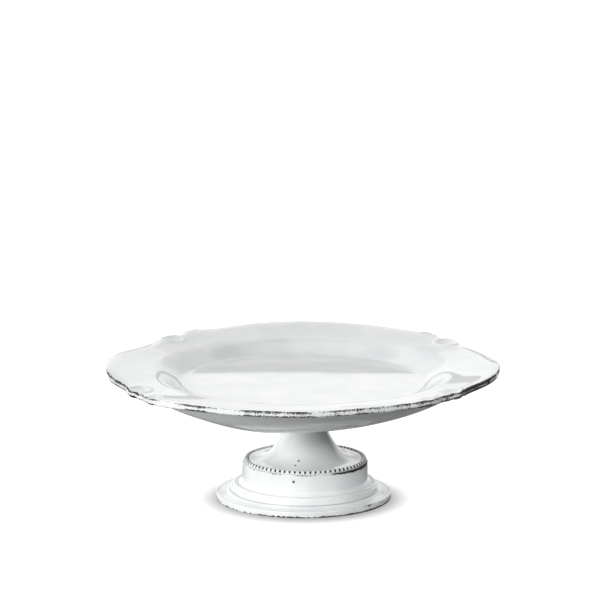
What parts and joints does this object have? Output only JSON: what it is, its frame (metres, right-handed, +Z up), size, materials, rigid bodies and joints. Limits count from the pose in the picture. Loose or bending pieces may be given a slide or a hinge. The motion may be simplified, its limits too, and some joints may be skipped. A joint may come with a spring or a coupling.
{
  "type": "cake stand",
  "caption": "Footed cake stand: lobed round plate with a shallow well, on a flared hollow stem and a stepped drum foot with a beaded edge.",
  "frame": {"origin": "on the table, under the centre of the foot", "axes": "+Z up along the stem; X through the crowns of the two side lobes; Y through the crowns of the front and back lobes, -Y to the front"},
  "size_m": [0.32, 0.32, 0.1105],
  "materials": {
    "milk_glaze": "glossy milk-white glaze over dark clay, worn through along the edges",
    "worn_glaze": "glossy milk-white glaze on small pearls, dark clay showing between them"
  },
  "bodies": {
    "root": {"plate": "milk_glaze", "under_bowl": "milk_glaze", "neck_slip": "milk_glaze", "stem": "milk_glaze", "bead_string": "worn_glaze", "drum": "milk_glaze", "drum_slip": "milk_glaze", "step_ring": "milk_glaze", "foot_flange": "milk_glaze"}
  },
  "joints": []
}
